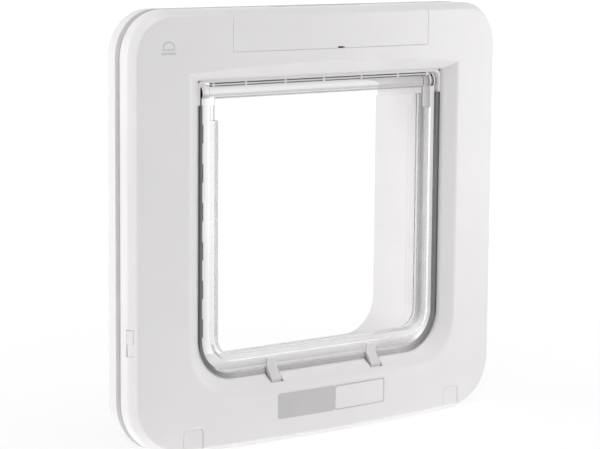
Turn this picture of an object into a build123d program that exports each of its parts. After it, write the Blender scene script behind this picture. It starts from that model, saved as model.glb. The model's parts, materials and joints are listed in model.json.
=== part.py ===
from build123d import *
import math
import os

# Microchip pet door, the room-side unit: X runs across it, +Z is up, and the room is towards -Y.
# The origin is the middle of the passage on the door's face, where the rear shell meets the door.

# Frame
frame_width = 281.0
frame_height = 262.0
frame_corner = 33.0
rear_side = 9.5
groove_width = 5.0
front_side = 12.1
front_bow = 11.0
edge_in = 3.6
edge_back = 5.0
wall = 2.4
rear_edge = 1.8
lap_clearance = 0.2
lap_wall = 2.0
lap_length = 4.0

# Tunnel and the sloped recess in front of it
surround_side = 48.5
surround_end = 43.0
tunnel_corner = 24.0
tunnel_top_corner = 4.0
tunnel_wall = 2.4
tunnel_reach = 37.4
tunnel_front = 25.5
flange_width = 3.5
flange_thickness = 2.4
lip_step = 1.4
side_slope = 1.59
top_slope = 0.76
sill_slope = 0.74
corner_growth = 0.5
recess_edge_round = 1.2
hood_rib_width = 1.1
hood_rib_depth = 0.9
hood_rib_shares = (0.0, 0.35, 0.70, 0.98)
hood_bar_height = 0.8

# Draught seals
seal_thickness = 1.4
seal_depth = 11.0
seal_lip = 0.4
seal_lip_gap = 0.2
seal_split_rise = 14.0
seal_top_below_hinge = 7.0
hood_seal_height = 2.4
hood_seal_depth = 0.95
hood_seal_end_gap = 8.0

# Flap and its hinge
flap_side_gap = 0.6
flap_low_gap = 1.0
flap_setback = 1.5
flap_thickness = 8.0
flap_corner = 22.0
hinge_bar_radius = 4.6
hinge_bar_gap = 1.4
hinge_boss_radius = 5.2
hinge_boss_length = 5.0
pin_radius = 2.5
pin_clearance = 0.05
bearing_length = 7.6
bearing_side = 11.0
rim_side = 9.5
rim_low = 10.4
window_drop = 7.4
window_set = 3.8
window_thickness = 3.0
window_corner = 12.0
window_top_corner = 1.5
bead_width = 3.5
bead_height = 3.8
bead_drop = 16.0
bar_step = 1.2
bar_step_drop = 2.4
core_length = 11.0
core_width = 2.0
core_depth = 2.6
core_top_margin = 24.1
core_count = 6
core_edge = 1.6

# Lock: two catches on one bar, dropped by a rack and pinion
catch_x = 39.0
catch_width = 7.4
catch_depth = 6.4
catch_head = 5.6
catch_head_depth = 1.8
catch_tongue = 2.6
catch_sill_gap = 1.0
catch_stem = 3.0
catch_rise = 5.2
catch_flap_gap = 0.8
catch_slot_gap = 1.2
lock_bar_drop = 14.6
lock_bar_height = 6.0
lock_bar_half = 50.0
rack_width = 8.0
rack_rise = 3.4
rack_length = 19.6
gear_module = 0.8
pinion_teeth = 16
pressure_angle = 20.0
flank_clearance = 0.15
rack_addendum = 0.7
dedendum = 1.0
pinion_drop = 10.0
shaft_radius = 1.5
shaft_reach = 11.0
shaft_clearance = 0.05
motor_height = 12.0
motor_depth = 10.0
motor_gap = 1.6
gearbox_length = 9.5
motor_length = 15.0
chassis_plate = 2.4
guide_wall = 6.0
guide_clearance = 0.2
chassis_rise = 3.0
chassis_low_gap = 7.0

# Battery bay, its lift-off cover and four cells in a row
cover_half = 75.0
cover_drop = 24.8
cover_gap = 0.25
cover_notch_x = 3.4
cover_notch_width = 5.2
cover_notch_height = 0.8
finger_half = 36.0
finger_reach = 4.5
finger_depth = 1.0
cover_tab_width = 16.0
cover_tab_drop = 3.0
ledge = 2.0
seat_clearance = 0.2
cell_radius = 13.1
cell_length = 50.0
cell_nub_radius = 3.4
cell_nub_length = 2.0
cell_gap = 0.4
cell_shoulder = 1.0
cell_count = 4
cell_rear_gap = 0.7
cell_below_top = 20.4
tray_clearance = 0.2
tray_floor = 2.2
tray_top_below_axis = 6.6
tray_reach = 11.8
tray_end = 2.5
contact_space = 2.6
contact_width = 14.0
contact_thickness = 0.6

# Electronics
board_low_gap = 6.0
board_high_gap = 8.5
board_side_gap = 6.5
board_tunnel_gap = 4.1
board_post_length = 9.6
board_thickness = 1.6
post_radius = 3.0
post_inset = 4.0
chip_side = 12.0
chip_height = 1.4
can_radius = 4.0
can_height = 8.0
coil_gap = 0.2
coil_thickness = 3.0
coil_flange_gap = 0.7
coil_width = 7.0

# Indicator, side switch, caps and screws
indicator_tray_gap = 11.2
indicator_from_top = 21.5
indicator_radius = 4.0
indicator_leg = 1.6
indicator_bar_width = 9.4
indicator_bar_height = 1.4
indicator_bar_gap = 0.9
indicator_clearance = 0.05
switch_slot_rise = 62.0
switch_slot_length = 16.0
switch_slot_set = 5.7
switch_slot_width = 4.8
switch_recess = 1.0
switch_stem_width = 1.4
switch_clearance = 0.3
switch_height = 8.4
switch_flange = 1.2
switch_flange_thickness = 1.2
cap_from_side = 39.3
cap_width = 12.8
cap_height = 15.3
cap_gap = 0.15
cap_corner = 1.6
cap_set = 8.5
fixing_rise = 11.6
top_fixing_x = 60.0
fixing_hole_radius = 2.6
well_radius = 4.4
well_wall = 1.6
plug_clearance = 0.2
plug_length = 5.0
housing_screw_from_side = 16.5
housing_screw_from_end = 31.0
screw_boss_radius = 4.0
screw_radius = 1.5
screw_length = 14.0
screw_head_radius = 2.9
screw_head_height = 1.3
screw_clearance = 0.1

# Places that follow from the sizes above
half_width = frame_width / 2
half_height = frame_height / 2
tunnel_width = frame_width - 2 * surround_side
tunnel_height = frame_height - 2 * surround_end
groove_back_y = -rear_side
groove_front_y = groove_back_y - groove_width
edge_y = groove_front_y - front_side
face_y = edge_y - front_bow
bow_radius = ((frame_width / 2) ** 2 + front_bow ** 2) / (2 * front_bow)
beyond_face_y = face_y - edge_in
lip_y = -tunnel_front
lip_half = tunnel_width / 2 + lip_step
lip_top = tunnel_height / 2 + lip_step
lip_low = -lip_top
lip_corner = tunnel_corner + lip_step
flap_front_y = lip_y + flap_setback
hinge_y = flap_front_y + flap_thickness / 2
hinge_z = tunnel_height / 2 - hinge_bar_gap - hinge_bar_radius
flap_half = tunnel_width / 2 - seal_thickness - flap_side_gap
flap_low = -tunnel_height / 2 + seal_thickness + flap_low_gap
bearing_face_x = tunnel_width / 2 + tunnel_wall
catch_rear_y = flap_front_y - catch_flap_gap
catch_front_y = catch_rear_y - catch_depth
catch_top = flap_low + catch_rise
catch_head_y = catch_rear_y - catch_head_depth
stem_rear_y = catch_front_y + catch_stem
rack_root_y = stem_rear_y
rack_pitch_y = rack_root_y + dedendum
pinion_pitch = gear_module * pinion_teeth / 2
pinion_y = rack_pitch_y + pinion_pitch
motor_x = rack_width / 2 + motor_gap
lap_outer = wall + lap_clearance
lap_inner = lap_outer + lap_wall
lap_end_y = groove_front_y - lap_length
hood_seal_half = tunnel_width / 2 - hood_seal_end_gap
hood_seal_low = tunnel_height / 2 - hood_seal_height
seal_split_z = -tunnel_height / 2 + seal_split_rise
core_low = flap_low + flap_corner + core_length / 2
core_pitch = (hinge_z - core_top_margin - core_low) / (core_count - 1)
lock_bar_top = lip_low - lock_bar_drop
rack_top = lock_bar_top + rack_rise
rack_bottom = rack_top - rack_length
pinion_z = lock_bar_top - pinion_drop
chassis_high = lock_bar_top + chassis_rise
chassis_low = -half_height + chassis_low_gap
cover_low = half_height - cover_drop
cell_y = -wall - cell_rear_gap - cell_radius
cell_z = half_height - cell_below_top
cells_half = cell_count * (cell_length + cell_gap) / 2
tray_front = cell_y - tray_reach
tray_inner = cells_half + contact_space
tray_half = tray_inner + tray_end
flange_front_y = -wall - flange_thickness
coil_rear = flange_front_y - coil_flange_gap
board_rear = -wall - board_post_length
board_left = -half_width + board_side_gap
board_right = -tunnel_width / 2 - tunnel_wall - flange_width - board_tunnel_gap
board_low = -tunnel_height / 2 + board_low_gap
board_high = hinge_z - bearing_side / 2 - board_high_gap
indicator_x = -tray_half - indicator_tray_gap
indicator_z = half_height - indicator_from_top
switch_slot_rear = groove_front_y - switch_slot_set
switch_slot_low = -half_height + switch_slot_rise
switch_slot_high = switch_slot_low + switch_slot_length
stem_set = (switch_slot_width - switch_stem_width) / 2
cap_x = half_width - cap_from_side
cap_top = -half_height + cap_height
cap_rear = groove_front_y - cap_set
fixing_z = -half_height + fixing_rise
housing_screw_x = half_width - housing_screw_from_side
housing_screw_z = half_height - housing_screw_from_end


def slab(sketch, rear, front):
    """Solid of an outline seen from the room, between two depths."""
    return extrude(Plane.XZ.offset(-rear) * sketch, amount=rear - front)


def block(x0, x1, y0, y1, z0, z1):
    """Box between two corners."""
    middle = Pos((x0 + x1) / 2, (y0 + y1) / 2, (z0 + z1) / 2)
    return middle * Box(abs(x1 - x0), abs(y1 - y0), abs(z1 - z0))


def rod(x, z, radius, rear, front):
    """Round bar that runs along Y."""
    return slab(Pos(x, z) * Circle(radius), rear, front)


def axle(x0, x1, y, z, radius):
    """Round bar that runs along X."""
    turned = Pos((x0 + x1) / 2, y, z) * Rot(0, 90, 0)
    return turned * Cylinder(radius, abs(x1 - x0))


def outline(inset):
    """Rounded rectangle of the frame, set in by some distance."""
    return RectangleRounded(frame_width - 2 * inset, frame_height - 2 * inset, frame_corner - inset)


def bow(depth):
    """Everything behind the bowed face, or behind a surface some depth under it."""
    return Pos(0, face_y + bow_radius, 0) * Cylinder(bow_radius - depth, 2 * frame_height)


def skin(depth_a, depth_b):
    """Layer between two depths under the bowed face."""
    return bow(depth_a) - bow(depth_b)


def front_form(inset):
    """Bowed front block with its sloped edge, set in on every side by some distance."""
    form = slab(outline(inset), groove_front_y, beyond_face_y) & bow(inset)
    face = form.faces().sort_by(Axis.Y)[0]
    return chamfer(face.edges(), edge_in, edge_back, reference=face)


def mouth(half, top, low, low_corner, top_corner=0.0):
    """Opening with round lower corners and square or lightly rounded upper ones."""
    plate = Pos(0, (top + low) / 2) * Rectangle(2 * half, top - low)
    plate = fillet(plate.vertices().group_by(Axis.Y)[0], low_corner)
    if top_corner > 0:
        plate = fillet(plate.vertices().group_by(Axis.Y)[-1], top_corner)
    return plate


def passage(grow):
    """Section of the passage, grown by some distance."""
    half = tunnel_width / 2 + grow
    high = tunnel_height / 2 + grow
    return mouth(half, high, -high, tunnel_corner + grow, tunnel_top_corner + grow)


def recess_section(ahead, skin_thickness):
    """Section of the sloped recess some way in front of its lip, or of the back of its wall."""
    def reach(slope):
        return slope * ahead + skin_thickness * math.hypot(1, slope)

    return mouth(
        lip_half + reach(side_slope),
        lip_top + reach(top_slope),
        lip_low - reach(sill_slope),
        lip_corner + corner_growth * ahead + skin_thickness,
    )


def recess(skin_thickness):
    """Sloped recess from the lip out past the face, or the form of the back of its wall."""
    ahead = lip_y - beyond_face_y
    near = Plane.XZ.offset(-lip_y) * recess_section(0, skin_thickness)
    far = Plane.XZ.offset(-beyond_face_y) * recess_section(ahead, skin_thickness)
    return loft([near, far], ruled=True)


def catch_slots():
    """Slots in the sill that the two catches drop through."""
    half = catch_width / 2 + catch_slot_gap
    front = catch_front_y - catch_slot_gap
    rear = catch_rear_y + catch_slot_gap / 2
    low = lip_low - sill_slope * (lip_y - front) - 2 * wall
    sides = [block(x - half, x + half, front, rear, low, flap_low) for x in (-catch_x, catch_x)]
    return sides[0] + sides[1]


def cover_region(gap):
    """Space of the battery cover: the top of the face and the top of the frame above it."""
    half = cover_half - gap
    return block(-half, half, beyond_face_y, groove_front_y, cover_low + gap, frame_height)


def cap_region(side, gap):
    """Space of one screw cap at a lower corner of the face."""
    low = -frame_height
    x0 = side * cap_x - cap_width / 2 + gap
    x1 = side * cap_x + cap_width / 2 - gap
    space = block(x0, x1, beyond_face_y, cap_rear - gap, low, cap_top - gap)
    return fillet(space.edges().filter_by(Axis.Y).group_by(Axis.Z)[-1], cap_corner)


def switch_region(gap, low, high):
    """Part of the left side between two heights, as wide as the switch's slot less some gap."""
    front = switch_slot_rear - switch_slot_width
    inner = -half_width + wall + edge_in
    return block(-frame_width, inner, front + gap, switch_slot_rear - gap, low, high)


def indicator_section(grow):
    """Round-topped window over a short bar."""
    dome = Circle(indicator_radius + grow)
    dome &= Pos(0, indicator_radius) * Rectangle(4 * indicator_radius, 2 * indicator_radius)
    leg_height = indicator_leg + grow
    dome += Pos(0, -leg_height / 2) * Rectangle(2 * (indicator_radius + grow), leg_height)
    bar_z = -indicator_leg - indicator_bar_gap - indicator_bar_height / 2
    bar = Pos(0, bar_z) * Rectangle(indicator_bar_width + 2 * grow, indicator_bar_height + 2 * grow)
    return Pos(indicator_x, indicator_z) * (dome + bar)


def front_shell():
    form = front_form(0) - recess(0)
    face = form.faces().sort_by(Axis.Y)[0]
    form = fillet(face.inner_wires()[0].edges(), recess_edge_round)
    shell = form - (front_form(wall) - recess(wall))
    # Ledge that the cover's lower edge rests on
    under_face = skin(wall, wall + ledge)
    shell += under_face & block(
        -cover_half, cover_half, beyond_face_y, groove_front_y, cover_low - 2 * ledge, cover_low)
    shell -= cover_region(0)
    lip = skin(wall + seat_clearance, wall + ledge)
    shell += lip & block(
        -cover_half, cover_half, beyond_face_y, groove_front_y, cover_low - ledge, cover_low + ledge)
    tab_half = cover_tab_width / 2 + cover_gap
    shell -= skin(wall, wall + ledge) & block(
        -tab_half, tab_half, beyond_face_y, groove_front_y, cover_low - 2 * cover_tab_drop, frame_height)
    # Seats, screw wells and openings of the two caps
    for side in (-1, 1):
        seat = skin(wall, wall + ledge) & cap_region(side, -ledge) & front_form(wall / 2)
        well = rod(side * cap_x, fixing_z, well_radius + well_wall, -wall, face_y) & bow(wall)
        shell += seat + well
        shell -= cap_region(side, 0) - front_form(wall + seat_clearance)
        shell -= rod(side * cap_x, fixing_z, well_radius, 0, beyond_face_y)
    # Bosses that take the housing screws
    for x in (-housing_screw_x, housing_screw_x):
        for z in (-housing_screw_z, housing_screw_z):
            boss = rod(x, z, screw_boss_radius, -wall, face_y) & bow(wall / 2)
            shell += boss - rod(x, z, screw_radius + screw_clearance, 0, -wall - screw_length)
    shell -= catch_slots()
    shell -= slab(indicator_section(indicator_clearance), groove_front_y, beyond_face_y)
    # Shallow slot of the side switch, with a slit for the switch's stem
    shell -= switch_region(0, switch_slot_low, switch_slot_high) - front_form(switch_recess)
    return shell - switch_region(stem_set - switch_clearance, switch_slot_low, switch_slot_high)


def rear_shell():
    plate = slab(outline(0), 0, groove_back_y)
    plate = chamfer(plate.faces().sort_by(Axis.Y)[-1].edges(), rear_edge)
    shell = plate + slab(outline(lap_outer), groove_back_y, lap_end_y)
    shell -= slab(outline(lap_inner), -wall, lap_end_y)
    shell -= slab(passage(tunnel_wall + lap_clearance), 0, -wall)
    for x in (board_left + post_inset, board_right - post_inset):
        for z in (board_low + post_inset, board_high - post_inset):
            shell += rod(x, z, post_radius, -wall, board_rear)
    for x in (-housing_screw_x, housing_screw_x):
        for z in (-housing_screw_z, housing_screw_z):
            shell -= rod(x, z, screw_radius + screw_clearance, 0, -wall)
            shell -= rod(x, z, screw_head_radius + screw_clearance, 0, -screw_head_height)
    for side in (-1, 1):
        shell -= rod(side * cap_x, fixing_z, fixing_hole_radius, 0, -wall)
        shell -= rod(side * top_fixing_x, cell_z, fixing_hole_radius, 0, -wall)
    return shell


def tunnel():
    tube = slab(passage(tunnel_wall), tunnel_reach, lip_y)
    flange = slab(passage(tunnel_wall + flange_width), -wall, flange_front_y)
    liner = tube + flange - slab(passage(0), tunnel_reach, lip_y)
    # Short ribs and a long bar that stand in front of the hood seal
    top = tunnel_height / 2 + tunnel_wall
    front = lip_y + hood_rib_depth
    half = hood_rib_width / 2
    for x in sorted({side * share * hood_seal_half for share in hood_rib_shares for side in (-1, 1)}):
        liner += block(x - half, x + half, lip_y, front, hood_seal_low, top)
    bar_low = hood_seal_low + (hood_seal_height - hood_bar_height) / 2
    liner += block(-hood_seal_half, hood_seal_half, lip_y, front, bar_low, bar_low + hood_bar_height)
    liner -= axle(-bearing_face_x, bearing_face_x, hinge_y, hinge_z, pin_radius + 2 * flap_side_gap)
    return liner - catch_slots()


def seal_ring():
    """Seal against the inside of the tunnel, with a lip over the tunnel's front edge."""
    inside = passage(-seal_thickness)
    ring = slab(passage(0) - inside, lip_y + seal_depth, lip_y)
    ring += slab(passage(lip_step - seal_lip_gap) - inside, lip_y, lip_y - seal_lip)
    ring -= block(-frame_width, frame_width, beyond_face_y, 0, hinge_z - seal_top_below_hinge, frame_height)
    return ring - catch_slots()


def side_seal(side):
    return seal_ring() & block(0, side * frame_width, beyond_face_y, 0, seal_split_z, frame_height)


def sill_seal():
    return seal_ring() & block(-frame_width, frame_width, beyond_face_y, 0, -frame_height, seal_split_z)


def hood_seal():
    front = lip_y + hood_rib_depth
    top = tunnel_height / 2
    return block(-hood_seal_half, hood_seal_half, front, front + hood_seal_depth, hood_seal_low, top)


def hinge_bearing(side):
    x0 = side * bearing_face_x
    x1 = side * (bearing_face_x + bearing_length)
    half = bearing_side / 2
    body = block(x0, x1, hinge_y - half, hinge_y + half, hinge_z - half, hinge_z + half)
    body = chamfer(body.edges().filter_by(Axis.X), half / 4)
    return body - axle(x0, x1, hinge_y, hinge_z, pin_radius + pin_clearance)


def flap():
    rear = flap_front_y + flap_thickness
    panel = slab(mouth(flap_half, hinge_z, flap_low, flap_corner), rear, flap_front_y)
    window_half = flap_half - rim_side
    window_top = hinge_z - window_drop
    window = mouth(window_half, window_top, flap_low + rim_low, window_corner, window_top_corner)
    glass_front = flap_front_y + window_set
    panel -= slab(window, glass_front, flap_front_y)
    panel -= slab(window, rear, glass_front + window_thickness)
    # Bead that stands out round the sides and the foot of the window
    grown = mouth(
        window_half + bead_width, window_top, flap_low + rim_low - bead_width,
        window_corner + bead_width, window_top_corner)
    bead = slab(grown - window, flap_front_y, flap_front_y - bead_height)
    bead_top = hinge_z - bead_drop
    panel += bead - block(-flap_half, flap_half, beyond_face_y, 0, bead_top, frame_height)
    step_top = hinge_z - bar_step_drop
    step_low = window_top - bar_step_drop
    panel -= block(-window_half, window_half, flap_front_y, flap_front_y + bar_step, step_low, step_top)
    panel += axle(-flap_half, flap_half, hinge_y, hinge_z, hinge_bar_radius)
    for side in (-1, 1):
        edge = side * flap_half
        panel += axle(edge - side * hinge_boss_length, edge, hinge_y, hinge_z, hinge_boss_radius)
        panel += axle(edge, side * (bearing_face_x + bearing_length), hinge_y, hinge_z, pin_radius)
    # Row of shallow cores in the rear of the left rim
    x0 = -flap_half + core_edge
    half = core_length / 2
    for i in range(core_count):
        z = core_low + i * core_pitch
        panel -= block(x0, x0 + core_width, rear - core_depth, rear, z - half, z + half)
    return panel


def catch(side):
    """Tongue that slopes out of the sill and ends in an upright head in front of the flap."""
    head_low = catch_top - catch_head
    sill_z = lip_low - sill_slope * (lip_y - catch_front_y)
    tongue_low = sill_z + catch_sill_gap
    corners = [
        (catch_rear_y, catch_top),
        (catch_head_y, catch_top),
        (catch_head_y, head_low),
        (catch_front_y, tongue_low),
        (catch_front_y, lock_bar_top),
        (stem_rear_y, lock_bar_top),
        (stem_rear_y, tongue_low - catch_tongue),
        (catch_rear_y, head_low - catch_tongue),
    ]
    start = Plane.YZ.offset(side * catch_x - catch_width / 2) * make_face(Polyline(*corners, close=True))
    return extrude(start, amount=catch_width)


def rack_tooth(z):
    """Straight-sided rack tooth that points to the rear, centred at a height."""
    lean = math.tan(math.radians(pressure_angle))
    half = math.pi * gear_module / 4 - flank_clearance / 2
    tip = rack_pitch_y + rack_addendum
    corners = [
        (rack_root_y, z - half - lean * dedendum),
        (tip, z - half + lean * rack_addendum),
        (tip, z + half - lean * rack_addendum),
        (rack_root_y, z + half + lean * dedendum),
    ]
    side = Plane.YZ.offset(-rack_width / 2) * make_face(Polyline(*corners, close=True))
    return extrude(side, amount=rack_width)


def lock_bar():
    half = lock_bar_half
    bar = block(-half, half, catch_front_y, stem_rear_y, lock_bar_top - lock_bar_height, lock_bar_top)
    bar += block(-rack_width / 2, rack_width / 2, catch_front_y, rack_root_y, rack_bottom, rack_top)
    pitch = math.pi * gear_module
    first = math.ceil((rack_bottom + pitch / 2 - pinion_z) / pitch)
    last = math.floor((rack_top - pitch / 2 - pinion_z) / pitch)
    for k in range(first, last + 1):
        bar += rack_tooth(pinion_z + k * pitch)
    return bar


def involute_point(radius, sign, half_angle):
    """Point on a tooth's involute flank at a radius, in polar form about the tooth's middle."""
    base = pinion_pitch * math.cos(math.radians(pressure_angle))
    roll = math.acos(base / radius)
    at_pitch = math.radians(pressure_angle)
    swing = (math.tan(roll) - roll) - (math.tan(at_pitch) - at_pitch)
    angle = sign * (half_angle - swing)
    return (radius * math.cos(angle), radius * math.sin(angle))


def pinion_tooth():
    """One involute tooth that points along +X of its sketch."""
    base = pinion_pitch * math.cos(math.radians(pressure_angle))
    tip = pinion_pitch + gear_module
    half_angle = (math.pi * gear_module / 4 - flank_clearance / 2) / pinion_pitch
    root = pinion_pitch - dedendum - gear_module / 4
    radii = (base, (base + tip) / 2, tip)
    lower = [involute_point(r, -1, half_angle) for r in radii]
    upper = [involute_point(r, 1, half_angle) for r in radii]
    foot = root / base
    low_foot = (lower[0][0] * foot, lower[0][1] * foot)
    high_foot = (upper[0][0] * foot, upper[0][1] * foot)
    edges = [
        Line(low_foot, lower[0]),
        ThreePointArc(*lower),
        Line(lower[2], upper[2]),
        ThreePointArc(*reversed(upper)),
        Line(upper[0], high_foot),
        Line(high_foot, low_foot),
    ]
    return make_face(edges)


def lock_pinion():
    root = pinion_pitch - dedendum
    gear = Sketch() + Circle(root)
    step = 360 / pinion_teeth
    for k in range(pinion_teeth):
        # A tooth space faces the rack, half a step from the nearest teeth
        gear += Rot(0, 0, 180 + step * (k + 0.5)) * pinion_tooth()
    start = Plane.YZ.offset(-rack_width / 2) * Pos(pinion_y, pinion_z) * gear
    wheel = extrude(start, amount=rack_width)
    return wheel + axle(rack_width / 2, shaft_reach, pinion_y, pinion_z, shaft_radius)


def gearmotor():
    half_z = motor_height / 2
    half_y = motor_depth / 2
    end = motor_x + gearbox_length
    low_y = pinion_y - half_y
    high_y = pinion_y + half_y
    box = block(motor_x, end, low_y, high_y, pinion_z - half_z, pinion_z + half_z)
    can = axle(end, end + motor_length, pinion_y, pinion_z, half_z)
    can &= block(end, end + motor_length, low_y, high_y, pinion_z - half_z, pinion_z + half_z)
    bore_end = shaft_reach + shaft_clearance
    return box + can - axle(motor_x, bore_end, pinion_y, pinion_z, shaft_radius + shaft_clearance)


def lock_chassis():
    outer = lock_bar_half + guide_clearance + guide_wall
    plate_y = -wall - chassis_plate
    chassis = block(-outer, outer, plate_y, -wall, chassis_low, chassis_high)
    for side in (-1, 1):
        x0 = side * (lock_bar_half - guide_wall / 2)
        x1 = side * outer
        post = block(x0, x1, catch_front_y - guide_wall / 2, plate_y, chassis_low, chassis_high)
        x2 = side * (lock_bar_half + guide_clearance)
        front = catch_front_y - guide_clearance
        post -= block(x0, x2, front, stem_rear_y + guide_clearance, chassis_low, chassis_high)
        chassis += post
    rest_y = pinion_y + motor_depth / 2
    end = motor_x + gearbox_length + motor_length
    half_z = motor_height / 3
    chassis += block(motor_x, end, rest_y, plate_y, pinion_z - half_z, pinion_z + half_z)
    return chassis & bow(wall + guide_clearance)


def battery_cover():
    cover = (front_form(0) - front_form(wall)) & cover_region(cover_gap)
    slit_left = cover_notch_x - cover_notch_width / 2
    slit_right = cover_notch_x + cover_notch_width / 2
    low = cover_low + cover_gap
    cover -= block(slit_left, slit_right, beyond_face_y, groove_front_y, low, low + cover_notch_height)
    cover -= block(
        -finger_half, finger_half, groove_front_y - finger_reach, groove_front_y,
        half_height - finger_depth, half_height)
    tab_half = cover_tab_width / 2
    tab_low = cover_low - cover_tab_drop
    tab_high = low + 2 * cover_tab_drop
    tab_region = block(-tab_half, tab_half, beyond_face_y, groove_front_y, tab_low, tab_high)
    web_low = low + cover_notch_height
    above = block(-tab_half, tab_half, beyond_face_y, groove_front_y, web_low, frame_height)
    tab = skin(wall + seat_clearance, wall + ledge) & tab_region
    return cover + tab + (skin(wall / 2, wall + ledge) & tab_region & above)


def cell_centre(index):
    return (index - (cell_count - 1) / 2) * (cell_length + cell_gap)


def battery_cell(index):
    x = cell_centre(index)
    start = x - cell_length / 2
    can_end = start + cell_length - cell_nub_length
    can = axle(start, can_end, cell_y, cell_z, cell_radius)
    can = chamfer(can.edges(), cell_shoulder)
    return can + axle(can_end, start + cell_length, cell_y, cell_z, cell_nub_radius)


def battery_tray():
    trough = cell_radius + tray_clearance
    low = cell_z - trough - tray_floor
    top = cell_z - tray_top_below_axis
    tray = block(-tray_half, tray_half, tray_front, -wall, low, top)
    for side in (-1, 1):
        half = contact_width / 2
        tray += block(side * tray_inner, side * tray_half, cell_y - half, cell_y + half, low, cell_z + half)
    return tray - axle(-tray_inner, tray_inner, cell_y, cell_z, trough)


def battery_contact(side):
    """Sprung leaf on its end plate, bowed towards the cell."""
    inner = side * tray_inner
    half = contact_width / 2
    face = inner - side * contact_thickness
    plate = block(inner, face, cell_y - half, cell_y + half, cell_z - half, cell_z + half)
    root = inner - side * contact_thickness / 2
    tip = inner - side * (contact_space - contact_thickness)
    low = (root, cell_z - half)
    high = (root, cell_z + half)
    near_arc = ThreePointArc(low, (tip, cell_z), high)
    far_arc = ThreePointArc(low, (tip + side * contact_thickness, cell_z), high)
    leaf = make_face([near_arc, far_arc])
    return plate + slab(leaf, cell_y + half / 2, cell_y - half / 2)


def circuit_board():
    front = board_rear - board_thickness
    board = block(board_left, board_right, front, board_rear, board_low, board_high)
    middle = (board_left + board_right) / 2
    half = chip_side / 2
    for z in (board_low / 2, board_high / 2):
        board += block(middle - half, middle + half, front - chip_height, front, z - half, z + half)
    return board + rod(middle, 0, can_radius, front, front - can_height)


def reader_coil():
    inner = tunnel_wall + coil_gap
    ring = passage(inner + coil_thickness) - passage(inner)
    return slab(ring, coil_rear, coil_rear - coil_width)


def indicator_lens():
    window = slab(indicator_section(0), groove_front_y, beyond_face_y) & skin(0, wall)
    low = indicator_z - indicator_leg - indicator_bar_gap - indicator_bar_height
    high = indicator_z + indicator_radius
    plate = Pos(indicator_x, (low + high) / 2) * Rectangle(indicator_bar_width, high - low)
    web = slab(plate, groove_front_y, beyond_face_y)
    return window + (web & skin(wall, wall + ledge / 2))


def side_switch():
    high = switch_slot_high - switch_clearance
    low = high - switch_height
    knob = front_form(0) - front_form(switch_recess - seat_clearance)
    knob &= switch_region(switch_clearance, low, high)
    back = wall + seat_clearance
    stem = front_form(switch_recess / 2) - front_form(back + switch_flange_thickness / 2)
    stem &= switch_region(stem_set, low, high)
    plate = front_form(back) - front_form(back + switch_flange_thickness)
    return knob + stem + (plate & switch_region(-switch_flange, low, high))


def screw_cap(side):
    cover = (front_form(0) - front_form(wall)) & cap_region(side, cap_gap)
    plug_rear = face_y + plug_length + front_bow
    plug = rod(side * cap_x, fixing_z, well_radius - plug_clearance, plug_rear, face_y)
    return cover + (plug & bow(wall / 2))


def housing_screws():
    screws = []
    for x in (-housing_screw_x, housing_screw_x):
        for z in (-housing_screw_z, housing_screw_z):
            head = rod(x, z, screw_head_radius, 0, -screw_head_height)
            screws.append(head + rod(x, z, screw_radius, -screw_head_height, -wall - screw_length))
    return Compound(children=screws)


pieces = {
    "front_shell": front_shell(),
    "rear_shell": rear_shell(),
    "tunnel": tunnel(),
    "side_seal_left": side_seal(-1),
    "side_seal_right": side_seal(1),
    "sill_seal": sill_seal(),
    "hood_seal": hood_seal(),
    "hinge_bearing_left": hinge_bearing(-1),
    "hinge_bearing_right": hinge_bearing(1),
    "flap": flap(),
    "catch_left": catch(-1),
    "catch_right": catch(1),
    "lock_bar": lock_bar(),
    "lock_pinion": lock_pinion(),
    "gearmotor": gearmotor(),
    "lock_chassis": lock_chassis(),
    "battery_cover": battery_cover(),
    "battery_tray": battery_tray(),
    "battery_contact_left": battery_contact(-1),
    "battery_contact_right": battery_contact(1),
    "circuit_board": circuit_board(),
    "reader_coil": reader_coil(),
    "indicator_lens": indicator_lens(),
    "side_switch": side_switch(),
    "screw_cap_left": screw_cap(-1),
    "screw_cap_right": screw_cap(1),
    "housing_screws": housing_screws(),
}
for number in range(cell_count):
    pieces[f"battery_cell_{number + 1}"] = battery_cell(number)

os.makedirs("parts", exist_ok=True)
for name, piece in pieces.items():
    export_step(piece, f"parts/{name}.step")
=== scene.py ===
import json
import math

import bmesh
import bpy
import numpy as np
from bpy.props import FloatProperty, FloatVectorProperty, PointerProperty
from mathutils import Matrix, Vector


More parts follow.
